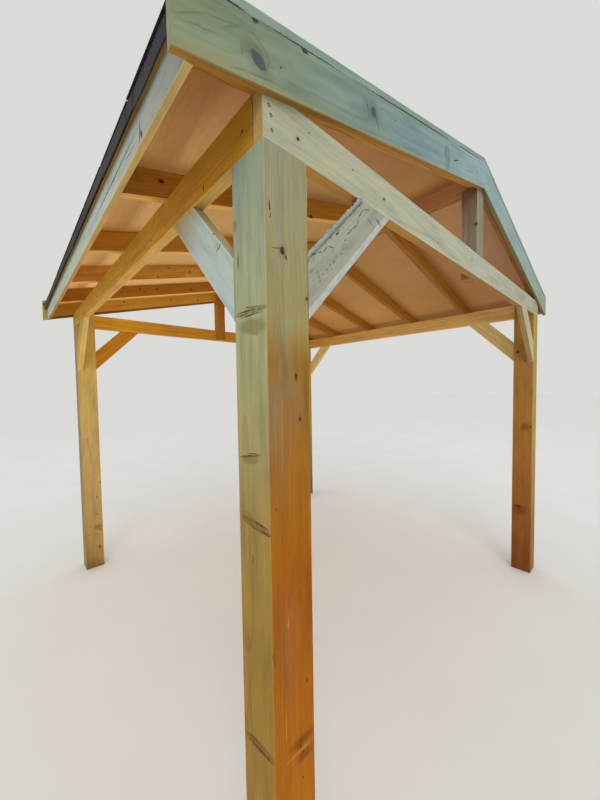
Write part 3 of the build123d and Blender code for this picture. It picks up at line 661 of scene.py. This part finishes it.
class SHELTER_OT_posts(bpy.types.Operator):
    """Make the four square posts"""

    bl_idname = "shelter.posts"
    bl_label = "Posts"

    def execute(self, context):
        chip = context.scene.shelter_grain.chip
        timber("front_left_post", "post_timber", up, left, post_arris, "treated_pine_near_post", (0.028, 0.041),
               0.011, chip, outer="near_post_side", inner="near_post_side", edges="near_post_face", rings=0.28,
               late="#B7A078", streaks=0.12, patches=0.5, stain="#8FA296", bloom=0.62, knots=0.12, pale=0.0,
               soak="#7B6F33")
        timber("front_right_post", "post_timber", up, right, post_arris, "treated_pine_orange_post",
               (0.035, 0.02), 0.02, chip, outer="right_post_side", inner="right_post_side",
               edges="right_post_face", rings=0.35, streaks=0.13, patches=0.15, knots=0.3)
        finish = dict(outer="rear_post_outside", inner="rear_post", edges="rear_post", rings=0.35, streaks=0.14,
                      patches=0.12)
        timber("rear_left_post", "post_timber", up, left, post_arris, "treated_pine_rear_left_post",
               (-0.03, 0.026), 0.02, chip, knots=0.3, **finish)
        timber("rear_right_post", "post_timber", up, right, post_arris, "treated_pine_rear_right_post",
               (0.02, -0.037), 0.02, chip, **finish)
        return {"FINISHED"}


class SHELTER_OT_tie_beams(bpy.types.Operator):
    """Make the tie beams across the two gables"""

    bl_idname = "shelter.tie_beams"
    bl_label = "Tie beams"

    def execute(self, context):
        timber("front_tie_beam", "beam_timber", right, front, beam_arris, "treated_pine_front_tie",
               (0.07, -0.02), 0.02, outer="tie_face", inner="tie_inside", edges="tie_underside", rings=0.3,
               late="#BDB48E", streaks=0.1, patches=0.2, stain="#9DA78A", knots=0.1)
        timber("rear_tie_beam", "beam_timber", right, rear, beam_arris, "treated_pine_rear_tie", (0.05, 0.03),
               0.04, outer="rear_tie_face", inner="rear_tie_inside", edges="rear_tie_underside", patches=0.1)
        return {"FINISHED"}


class SHELTER_OT_wall_plates(bpy.types.Operator):
    """Make the wall plates along the two eaves"""

    bl_idname = "shelter.wall_plates"
    bl_label = "Wall plates"

    def execute(self, context):
        timber("left_wall_plate", "beam_timber", rear, left, beam_arris, "treated_pine_left_plate",
               (0.06, 0.03), 0.02, outer="left_plate_face", inner="plate_edge", edges="left_plate_underside",
               knots=0.2, patches=0.12, stain="#8C8648", rings=0.4, streaks=0.14)
        timber("right_wall_plate", "beam_timber", front, right, beam_arris, "treated_pine_right_plate",
               (0.05, -0.04), 0.04, outer="plate_face", inner="right_plate_inside", edges="plate_edge",
               patches=0.0)
        return {"FINISHED"}


class SHELTER_OT_knee_braces(bpy.types.Operator):
    """Make the eight knee braces, the near gable one with its bark edge and the near side one chalky"""

    bl_idname = "shelter.knee_braces"
    bl_label = "Knee braces"

    def execute(self, context):
        # the two near braces have a material, a length of mesh and a finish of their own
        own = {
            "front_left_gable_brace": ("waney_pine_brace", 0.004, dict(
                wane=context.scene.shelter_grain.wane, outer="brace_grey", inner="brace_grey",
                edges="brace_bark", rings=0.25, late="#A8A294", streaks=0.08, patches=0.5, stain="#8E8C7C",
                knots=0.05, pale=0.1, bark=(-0.053, 0.0016), chalk=(0.037, 0.041), soak="#6A6C5C")),
            "front_left_side_brace": ("chalky_pine_brace", 0.015, dict(
                outer="brace_chalk", inner="brace_honey", edges="brace_pale", rings=0.12, late="#B5B5A8",
                streaks=0.06, patches=0.35, stain="#A9A897", knots=0.05)),
        }
        # the amber and gold braces are lighter than the honey ones: painted light
        sorts = {"front_right_gable_brace": "pale", "front_right_side_brace": "amber",
                 "rear_left_gable_brace": "gold", "rear_right_gable_brace": "gold",
                 "rear_right_side_brace": "amber"}
        for end, way in (("front", front), ("rear", rear)):
            for side, out in (("left", left), ("right", right)):
                for kind, outward, inward in (("gable", way, -out), ("side", out, -way)):
                    name = f"{end}_{side}_{kind}_brace"
                    sort = sorts.get(name, "honey")
                    tint = "brace_" + sort
                    finish = dict(outer=tint, inner=tint, edges="brace_tan" if sort == "pale" else tint,
                                  patches=0.05)
                    material, step, finish = own.get(name, (f"treated_pine_{sort}_brace", 0.03, finish))
                    timber(name, "brace_timber", inward + up, outward, beam_arris, material,
                           pith_for(name, 0.05, 0.08), step, **finish)
        return {"FINISHED"}


class SHELTER_OT_king_posts(bpy.types.Operator):
    """Make the two king posts, notched over the tie beams and forked under the ridge board"""

    bl_idname = "shelter.king_posts"
    bl_label = "King posts"

    def execute(self, context):
        timber("front_king_post", "roof_timber", up, front, beam_arris, "treated_pine_king_post", (0.03, 0.03),
               0.02, outer="king_face", inner="king_side", edges="king_edge", patches=0.3, stain="#8A8674",
               ends="king_end")
        timber("rear_king_post", "roof_timber", up, rear, beam_arris, "pine_rear_king_post", (0.03, -0.02), 0.03,
               outer="king_face", inner="king_rear", edges="king_rear", patches=0.1)
        return {"FINISHED"}


class SHELTER_OT_rafters(bpy.types.Operator):
    """Make the ridge board and the six pairs of rafters"""

    bl_idname = "shelter.rafters"
    bl_label = "Ridge board and rafters"

    def execute(self, context):
        finish = dict(inner="rafter_side", rings=0.5, late="#9C7446", streaks=0.16, patches=0.06,
                      stain="#8A7A4A", knot="#241207", knots=1.1)
        timber("ridge_board", "roof_timber", rear, right, beam_arris, "treated_pine_ridge_board", (0.06, 0.02),
               0.05, **(finish | dict(outer="ridge", inner="ridge", edges="rafter_edge_right")))
        for side, inward in (("left", right), ("right", left)):
            for place in ("front_end", "second", "third", "fourth", "fifth", "rear_end"):
                name = f"{side}_rafter_{place}"
                # the left rafters get lighter and darker from one to the next, and the end rafters' undersides
                # darker: painted light and shade
                own = side == "left" and place not in ("front_end", "second")
                sort = place if own else "end" if "end" in place else "plain"
                timber(name, "roof_timber", up_slope(inward), front, beam_arris,
                       f"treated_pine_{side}_{sort}_rafter", pith_for(name), 0.05,
                       outer=f"rafter_{place if own else 'side'}",
                       edges=f"rafter_{'end' if 'end' in place else 'edge'}_{side}", **finish)
        return {"FINISHED"}


class SHELTER_OT_fascias(bpy.types.Operator):
    """Make the eaves fascias and the drip battens over them"""

    bl_idname = "shelter.fascias"
    bl_label = "Fascias and drip battens"

    def execute(self, context):
        finish = dict(inner="fascia_edge", edges="fascia_underside", rings=0.16, late="#B8B8A4", streaks=0.07,
                      patches=0.25, knots=0.35)
        for side, grain, outward, pith, step, face in (
                ("left", rear, left, (0.08, 0.03), 0.02, "left_fascia_face"),
                ("right", front, right, (0.07, -0.02), 0.04, "fascia_face")):
            timber(side + "_fascia", "trim_timber", grain, outward, trim_arris, f"bleached_pine_{side}_fascia",
                   pith, step, outer=face, **finish)
        for side, grain, outward in (("left", rear, left), ("right", front, right)):
            name = side + "_drip_batten"
            timber(name, "roof_timber", grain, outward, batten_arris, "sawn_pine_batten", pith_for(name), 0.05,
                   outer="batten", inner="batten", edges="batten_edge", patches=0.0, knots=0.3)
        return {"FINISHED"}


class SHELTER_OT_bargeboards(bpy.types.Operator):
    """Make the four bargeboards and the verge caps nailed over them"""

    bl_idname = "shelter.bargeboards"
    bl_label = "Bargeboards and verge caps"

    def execute(self, context):
        weathered = dict(late="#8F9484", streaks=0.1, pale=0.2)
        finish = dict(outer="barge_face", inner="barge_inside", edges="barge_inside", patches=0.4,
                      stain="#9FAE9F", rings=0.42, growth=2.2, knots=0.6, **weathered)
        near = dict(rings=0.3, growth=2.6, knots=0.06, knot="#4B505D", ends="barge_end")
        far = dict(outer="right_barge_face", edges="right_barge_edge", ends="barge_end")
        back = dict(inner="rear_barge_inside", ends="rear_barge_end")
        for end, outward in (("front", front), ("rear", rear)):
            for side, inward in (("left", right), ("right", left)):
                name = f"{end}_{side}_bargeboard"
                if (end, side) == ("front", "left"):
                    timber(name, "trim_timber", up_slope(inward), outward, trim_arris,
                           "weathered_pine_near_barge", (0.062, 0.004), 0.02, **(finish | near))
                else:
                    timber(name, "trim_timber", up_slope(inward), outward, trim_arris,
                           f"weathered_pine_{end}_barge", pith_for(name, 0.05, 0.09), 0.04,
                           **(finish | (far if end == "front" else back)))
                name = f"{end}_{side}_verge_cap"
                timber(name, "trim_timber", up_slope(inward), outward, trim_arris,
                       f"weathered_pine_{end}_{side}_cap", pith_for(name, 0.05, 0.09), 0.03, outer="verge_cap",
                       inner="verge_cap", edges="verge_cap", rings=0.35, patches=0.35, stain="#7E8F88", knots=0.2,
                       ends="barge_end" if end == "front" else "rear_barge_end", **weathered)
        return {"FINISHED"}


class SHELTER_OT_boarding(bpy.types.Operator):
    """Give the plywood boarding its veneer figure"""

    bl_idname = "shelter.boarding"
    bl_label = "Roof boarding"

    def execute(self, context):
        # Hardwood faced plywood, sanded: broad soft flames of rotary cut veneer along the sheet,
        # short dark pores, and a warm pinkish brown that varies slowly from sheet to sheet.
        for side, painted_shade_and_light in (("left", ((0.1, 0.74), (0.7, 0.8), (0.88, 1.0))),
                             ("right", ((0.5, 1.0), (0.82, 1.2)))):
            made, add = new_material(side + "_hardwood_faced_plywood")
            place = add("TexCoord", out="Object")
            flame = add("TexNoise", add("VectorMath.MULTIPLY", place, (9, 1.2, 9)), 1.0, 3.0, 0.6)
            swirl = add("Math.FRACT", add("Math.MULTIPLY", flame, 9.0))
            swirl = add("MapRange", swirl, 0.0, 1.0, 0.96, 1.04)
            # pores are 0.3 mm wide in the real veneer, drawn 3 mm wide and 40 mm long here
            pores = add("VectorMath.MULTIPLY", place, (330, 25, 330))
            pores = add("TexNoise", pores, 1.0, 2.0, 0.6)
            slow = add("TexNoise", place, 1.1, 2.0, 0.5)
            # the sheets lie from gable to gable; the boarding is darker towards the front gable and towards the
            # ridge, and on the right slope lighter towards the eaves: painted shade and light
            spot = add("SeparateXYZ", place).node.outputs
            along = add("MapRange", spot["Y"], -1.5, 1.5, 0.0, 1.0)
            tone = add("ValToRGB", along, stops=stops_along(side + "_veneer"))
            out = add("MapRange", add("Math.ABSOLUTE", spot["X"]), 0.0, eaves_edge, 0.0, 1.0)
            share = add("ValToRGB", out, stops=[(at, (level,) * 3) for at, level in painted_shade_and_light])
            tone = add("Mix.MULTIPLY", 1.0, tone, share)
            slow = add("ValToRGB", slow, stops=[(0.35, (0.9, 0.88, 0.85)), (0.65, (1.08, 1.1, 1.12))])
            tone = add("Mix.MULTIPLY", 1.0, tone, slow)
            fine = add("Math.MULTIPLY", add("MapRange", pores, 0.3, 0.7, 0.94, 1.06), swirl)
            tone = add("VectorMath.SCALE", tone, named={"Scale": fine})
            bump = add("Bump", named={"Strength": 0.2, "Distance": 0.0006, "Height": pores})
            dull = add("MapRange", pores, 0.3, 0.7, 0.62, 0.5)
            veneer = add("BsdfPrincipled", named={"Base Color": tone, "Roughness": dull, "IOR": 1.5, "Normal": bump,
                                                  "Specular IOR Level": 0.25})
            add("OutputMaterial", veneer)
            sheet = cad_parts[side + "_roof_boarding"].data
            sheet.materials.clear()
            sheet.materials.append(made)
        return {"FINISHED"}


def bitumen_felt():
    """Bitumen felt faced with crushed slate: matt charcoal, speckled by grit, dusty brown in patches."""
    roof = bpy.context.scene.shelter_roof
    made, add = new_material("slated_bitumen_felt")
    place = add("TexCoord", out="Object")
    # slate grit is about 1 mm across, drawn 3 mm across so that it shows
    grit = add("SeparateColor", add("TexVoronoi", place, 330.0, out="Color"))
    level = add("MapRange", grit, 0.0, 1.0, 0.6, 1.5)
    dust = add("MapRange", add("TexNoise", place, 2.3, 4.0, 0.6), 0.45, 0.75, 0.0, 0.7)
    tone = add("Mix", dust, tuple(roof.felt), tuple(roof.felt_worn))
    # every tab comes from another part of the roll, so each has a tone of its own
    piece = add("Attribute", attribute_name="tab_tone", out="Fac")
    level = add("Math.MULTIPLY", level, piece)
    tone = add("VectorMath.SCALE", tone, named={"Scale": level})
    bump = add("Bump", named={"Strength": 0.5, "Distance": 0.0015, "Height": grit})
    dull = add("MapRange", grit, 0.0, 1.0, 0.98, 0.85)
    felt = add("BsdfPrincipled", named={"Base Color": tone, "Roughness": dull, "IOR": 1.6, "Normal": bump,
                                        "Specular IOR Level": 0.3})
    add("OutputMaterial", felt)
    return made


def felt_slab(bm, tone, rows):
    """A felt sheet as a closed slab, from rows of points that each lie on its lower and its upper face."""
    layer = bm.faces.layers.float["tab_tone"]
    grid = [[[bm.verts.new(at) for at in pair] for pair in row] for row in rows]
    loops = []
    for near, far in zip(grid, grid[1:]):
        for a, b, c, d in zip(near, far, far[1:], near[1:]):
            loops += [(a[1], b[1], c[1], d[1]), (d[0], c[0], b[0], a[0])]
    rim = grid[0] + [row[-1] for row in grid[1:-1]] + grid[-1][::-1] + [row[0] for row in grid[-2:0:-1]]
    loops += [(a[0], b[0], b[1], a[1]) for a, b in zip(rim, rim[1:] + rim[:1])]
    for loop in loops:
        bm.faces.new(loop)[layer] = tone


def flat_sheet(bm, tone, corner, u_way, v_way, out, thick, cells=(1, 1), lift=lambda u, v: 0.0):
    """A felt sheet over a grid of cells; lift moves each point off its plane."""
    rows = []
    for u in (i / cells[0] for i in range(cells[0] + 1)):
        points = [corner + u_way * u + v_way * v + out * lift(u, v)
                  for v in (j / cells[1] for j in range(cells[1] + 1))]
        rows.append([(at, at + out * thick) for at in points])
    felt_slab(bm, tone, rows)


def lay_courses(bm, roof, side, x):
    """A bed sheet on one slope, and lapped courses of square tabs over it."""
    pick = random.Random(side + "felt")
    down_slope = Vector((x * math.cos(roof_pitch), 0, -math.sin(roof_pitch)))
    out = Vector((x * math.sin(roof_pitch), 0, math.cos(roof_pitch)))
    slope_length = eaves_edge / math.cos(roof_pitch)
    reach = cap_back + 0.030
    # the bed's thickness, how far the laps lift the low edge of a strip, how far the first course hangs
    # over the edge of the boarding, and the least size that is laid
    bed, rise, overhang, least = 0.0008, 0.0050, 0.007, 0.02
    across = Vector((0, 2 * reach, 0))

    def at(down, y):
        return Vector((0, y, ridge_of_boards)) + down_slope * down

    flat_sheet(bm, 0.9, at(0, -reach), across, down_slope * slope_length, out, bed)
    for k in range(math.ceil((slope_length - 0.03) / roof.course)):
        low = slope_length + overhang - k * roof.course
        band = min(low - 0.01, roof.strip) - roof.course
        if band > least:
            # the uncut band of the strip, under the next course
            flat_sheet(bm, 0.85, at(low - roof.course, -reach), across, -down_slope * band, out, roof.sheet,
                       (1, 2), lambda u, v: bed + rise * (1 - (roof.course + band * v) / roof.strip))
        height = min(roof.course + 0.004, low - 0.012)
        y = -reach - roof.tab * (0.5 if k % 2 else 0.0) - pick.uniform(0, 0.02)
        while y < reach:
            y0, y1 = max(-reach, y + roof.slot / 2), min(reach, y + roof.tab - roof.slot / 2)
            y += roof.tab
            if y1 - y0 < least:
                continue
            droop, curl, tone = pick.uniform(-0.0015, 0.0015), pick.uniform(0, 0.0007), pick.uniform(0.78, 1.22)
            flat_sheet(bm, tone, at(low + droop, y0), Vector((0, y1 - y0, 0)), -down_slope * height, out,
                       roof.sheet, (4, 3), lambda u, v: bed + rise * (1 - v * height / roof.strip) - 0.0003
                       - curl * (abs(u - 0.5) * 2) ** 3 * (1 - v))


def lay_hem(bm, roof, side, x):
    """The felt turned down over the edge of the boarding and the drip batten, waved and lapped."""
    pick = random.Random(side + "hem")
    edge_top = ridge_of_boards - eaves_edge * math.tan(roof_pitch)
    # where the sheets end; the three at the front stand off the batten in steps and hang lower
    end, lap, front_drop = 1.4995, 0.006, 0.005
    ends = (-end, -1.212, -1.152, -0.87, -0.33, 0.05, 0.66, 1.02, end)
    stands = (0.0052, 0.0068, 0.0082)
    for k, (y0, y1) in enumerate(zip(ends, ends[1:])):
        stand = stands[min(k, 2)] + pick.uniform(-0.0006, 0.0012) * (k > 2)
        drop = roof.hem + (front_drop if k < 3 else 0.0) + pick.uniform(-0.002, 0.002)
        cells = max(2, round((y1 - y0 + 2 * lap) / 0.03))
        rows = []
        for i in range(cells + 1):
            y = y0 + (min(y1 + lap, end) - y0) * i / cells
            wave = noise.noise(Vector((y * 7, k * 0.3, x))) * 0.0011
            sag = noise.noise(Vector((y * 11, 5 + k, x))) * 0.0016
            row = []
            for v, bulge in ((0.0, 0.0), (0.25, 0.8), (0.6, 1.0), (1.0, 1.0)):
                z = edge_top + felt_build - (drop + felt_build + sag) * v
                out = (stand + wave) * (0.55 + 0.45 * bulge)
                row.append([Vector((x * (eaves_edge + stood), y, z)) for stood in (max(0.0002, out - 0.003), out)])
            rows.append(row)
        felt_slab(bm, pick.uniform(0.85, 1.15), rows)


def lay_ridge(bm, roof):
    """Single tabs folded over the ridge, each lapping the one before."""
    pick = random.Random("ridge")
    reach = cap_back + 0.004
    # how long a strip is and how wide on each slope, how flat its fold is, and how far the strip under it
    # lifts its front end
    run, wing, flattened, lift = 0.30, 0.13, 0.0012, 0.0042
    thick = Vector((0, 0, roof.sheet))
    y = -reach
    while y < reach - 0.02:
        far, tone = min(reach, y + run), pick.uniform(0.8, 1.2)
        rows = []
        for t in (0.0, 0.35, 0.7, 1.0):
            row = []
            for out in (-wing, -0.05, -0.012, 0.0, 0.012, 0.05, wing):
                z = ridge_of_boards + felt_build - abs(out) * math.tan(roof_pitch)
                z = z - (0.0 if out else flattened) + lift * (1 - t) + 0.0002
                at = Vector((out, y + (far - y) * t, z))
                row.append((at, at + thick))
            rows.append(row)
        felt_slab(bm, tone, rows)
        y += roof.course


class SHELTER_OT_felt(bpy.types.Operator):
    """Lay the felt: a hem over each eaves, lapped courses of square tabs, and strips folded over the ridge"""

    bl_idname = "shelter.felt"
    bl_label = "Felt shingles"

    def execute(self, context):
        roof = context.scene.shelter_roof
        if roof.course * 2 > roof.strip:
            raise RuntimeError("the strip must be at least two courses high, or the boarding shows in the slots")
        felt = bitumen_felt()
        for name, lay, *where in (
                ("left_felt_courses", lay_courses, "left", -1), ("left_felt_hem", lay_hem, "left", -1),
                ("right_felt_courses", lay_courses, "right", 1), ("right_felt_hem", lay_hem, "right", 1),
                ("ridge_felt_strips", lay_ridge)):
            bm = bmesh.new()
            bm.faces.layers.float.new("tab_tone")
            lay(bm, roof, *where)
            bmesh.ops.recalc_face_normals(bm, faces=bm.faces)
            add_piece(name, mesh_from(bm, name), felt, "felt_covering")
        return {"FINISHED"}


def fixing_head(bm, at, way, r, recess):
    """The head of a nail, or of a screw with a star recess, turned about its shank by its place."""
    spin = Matrix.Translation(at) @ way.to_track_quat("Z", "Y").to_matrix().to_4x4()
    spin = spin @ Matrix.Rotation(at.x * 9 + at.z * 7, 4, "Z")
    profile = [(r, -0.0004), (r * 0.96, 0.0002), (r * 0.8, 0.00045), (r * 0.42, 0.0005)]
    profile += [(r * 0.34, -0.0006)] if recess else [(r * 0.2, 0.00055)]
    corners = 12
    rings = []
    for k, (radius, height) in enumerate(profile):
        star = 0.25 if recess and k >= 3 else 0.0
        ring = []
        for i in range(corners):
            reach, angle = radius * (1 + star * (i % 2)), i * math.tau / corners
            ring.append(bm.verts.new(spin @ Vector((reach * math.cos(angle), reach * math.sin(angle), height))))
        rings.append(ring)
    for low, high in zip(rings, rings[1:]):
        for i in range(corners):
            j = (i + 1) % corners
            bm.faces.new((low[i], low[j], high[j], high[i]))
    bm.faces.new(rings[-1])
    bm.faces.new(rings[0][::-1])


class SHELTER_OT_fixings(bpy.types.Operator):
    """Drive the nails and screws that show"""

    bl_idname = "shelter.fixings"
    bl_label = "Nails and screws"

    def execute(self, context):
        # Hot dipped galvanised steel, gone dull: mid grey, rough, with brown bloom round the rim
        s = context.scene.shelter_fixings
        steel, add = new_material("dull_galvanised_steel")
        bloom = add("TexNoise", add("TexCoord", out="Object"), 400.0, 3.0, 0.6)
        tone = add("ValToRGB", bloom, stops=[(0.35, [c * 0.45 for c in s.steel]), (0.7, tuple(s.steel))])
        dull = add("MapRange", bloom, 0.3, 0.7, 0.75, 0.5)
        made = add("BsdfPrincipled", named={"Base Color": tone, "Metallic": 0.7, "Roughness": dull})
        add("OutputMaterial", made)

        # how far out from the ridge and how high the heads sit, in metres, and the depth of their face
        nails = ((1.457, 2.443), (0.939, 2.604), (0.106, 2.800))
        screws = ((1.480, 2.357), (1.474, 2.337), (1.472, 2.303))
        for end, way in (("front", front), ("rear", rear)):
            for side, x in (("left", -1), ("right", 1)):
                for kind, spots, face, width in (("bargeboard_nails", nails, packed_box[1][1], s.nail_head),
                                                 ("tie_screws", screws, half_plan, s.screw_head)):
                    bm = bmesh.new()
                    for out, z in spots:
                        fixing_head(bm, Vector((x * out, way.y * face, z)), way, width / 2, kind == "tie_screws")
                    name = f"{end}_{side}_{kind}"
                    add_piece(name, mesh_from(bm, name), steel)
        return {"FINISHED"}


def soft_lamp(name, power, place, width, depth):
    """A rectangular lamp."""
    lamp = bpy.data.lights.new(name, "AREA")
    lamp.shape, lamp.size, lamp.size_y, lamp.energy = "RECTANGLE", width, depth, power
    made = place_object(name, lamp)
    made.location = place
    return made


class SHELTER_OT_stage(bpy.types.Operator):
    """Set the pale floor, the soft lamps and the camera"""

    bl_idname = "shelter.stage"
    bl_label = "Stage"

    def execute(self, context):
        scene, s = context.scene, context.scene.shelter_stage
        # Matt screed painted pale: even, with the faint clouding of a roller
        screed, add = new_material("matt_pale_floor")
        cloud = add("TexNoise", add("TexCoord", out="Object"), 1.5, 3.0, 0.5)
        level = add("MapRange", cloud, 0.3, 0.7, 0.985, 1.015)
        tone = add("VectorMath.SCALE", tuple(s.floor), named={"Scale": level})
        paint = add("BsdfPrincipled", named={
            "Base Color": tone, "Roughness": 0.9, "IOR": 1.45, "Specular IOR Level": 0.1})
        add("OutputMaterial", paint)
        bm = bmesh.new()
        bmesh.ops.create_circle(bm, cap_ends=True, segments=96, radius=60)
        floor = place_object("floor", mesh_from(bm, "floor"))
        floor.data.materials.append(screed)
        floor.location.z = packed_box[0][2] - 0.0005

        world = bpy.data.worlds.new("soft_studio")
        scene.world = world
        world.use_nodes = True
        world.node_tree.nodes.clear()
        add = partial(node, world.node_tree)
        seen = add("LightPath").node.outputs
        seen = add("Math.MAXIMUM", seen["Is Camera Ray"], seen["Is Glossy Ray"])
        light = add("Background", (1, 1, 1), s.fill)
        shown = add("Background", tuple(s.background), 1.0)
        add("OutputWorld", add("MixShader", seen, light, shown))

        key = soft_lamp("soft_key", s.key, (-9.5, -12.5, 9.0), 9, 7)
        key.rotation_mode = "QUATERNION"
        middle = Vector((0, 0, 1.4))
        key.rotation_quaternion = (middle - key.location).to_track_quat("-Z", "Y")
        bounce = soft_lamp("soft_bounce", s.bounce, (-0.69, 1.15, 0.01), 1.3, 2.0)
        bounce.rotation_euler.x = math.pi
        bounce.visible_camera = False

        # The view of the photograph: beside the near post, at eye height, with a very wide lens
        eye = Vector((-1.9622, -2.1140, 1.6800))
        yaw, pitch, roll = math.radians(42.82), math.radians(2.357), math.radians(-0.883)
        ahead = Vector((math.sin(yaw) * math.cos(pitch), math.cos(yaw) * math.cos(pitch), -math.sin(pitch)))
        beside = Vector((math.cos(yaw), -math.sin(yaw), 0))
        above = beside.cross(ahead)
        x_axis = beside * math.cos(roll) + above * math.sin(roll)
        y_axis = above * math.cos(roll) - beside * math.sin(roll)
        camera = bpy.data.cameras.new("camera")
        camera.lens, camera.sensor_width = 14.07, 36
        camera.clip_start, camera.clip_end = 0.05, 200
        scene.camera = place_object("camera", camera)
        turn = Matrix((x_axis, y_axis, -ahead)).transposed().to_4x4()
        scene.camera.matrix_world = Matrix.Translation(eye) @ turn
        scene.view_settings.view_transform = "Standard"
        return {"FINISHED"}


class SHELTER_PT_panel(bpy.types.Panel):
    """Lists the steps that make the shelter, and its sizes and colours"""

    bl_idname = "SHELTER_PT_panel"
    bl_label = "Gabled garden shelter"
    bl_space_type = "VIEW_3D"
    bl_region_type = "UI"
    bl_category = "Shelter"

    def draw(self, context):
        for step in steps:
            self.layout.operator(step.bl_idname)
        for name in settings:
            box = self.layout.box()
            group = getattr(context.scene, name)
            for key in group.bl_rna.properties.keys():
                if key not in ("rna_type", "name"):
                    box.prop(group, key)


settings = {
    "shelter_timber": ShelterTimberColours,
    "shelter_grain": ShelterGrain,
    "shelter_roof": ShelterRoof,
    "shelter_fixings": ShelterFixings,
    "shelter_stage": ShelterStage,
}
steps = (
    SHELTER_OT_stage, SHELTER_OT_posts, SHELTER_OT_tie_beams, SHELTER_OT_wall_plates, SHELTER_OT_knee_braces,
    SHELTER_OT_king_posts, SHELTER_OT_rafters, SHELTER_OT_fascias, SHELTER_OT_boarding, SHELTER_OT_felt,
    SHELTER_OT_bargeboards, SHELTER_OT_fixings,
)


def register():
    """Registers the classes and hangs the settings on the scene."""
    for group in (*settings.values(), *steps, SHELTER_PT_panel):
        bpy.utils.register_class(group)
    for name, group in settings.items():
        setattr(bpy.types.Scene, name, PointerProperty(type=group))


def unregister():
    """Takes the settings and the classes away again."""
    for name in settings:
        delattr(bpy.types.Scene, name)
    for group in (SHELTER_PT_panel, *reversed(steps), *settings.values()):
        bpy.utils.unregister_class(group)


def main():
    """Makes every piece in order."""
    register()
    bpy.ops.shelter.stage()
    bpy.ops.shelter.posts()
    bpy.ops.shelter.tie_beams()
    bpy.ops.shelter.wall_plates()
    bpy.ops.shelter.knee_braces()
    bpy.ops.shelter.king_posts()
    bpy.ops.shelter.rafters()
    bpy.ops.shelter.fascias()
    bpy.ops.shelter.boarding()
    bpy.ops.shelter.felt()
    bpy.ops.shelter.bargeboards()
    bpy.ops.shelter.fixings()


if __name__ == "__main__":
    main()
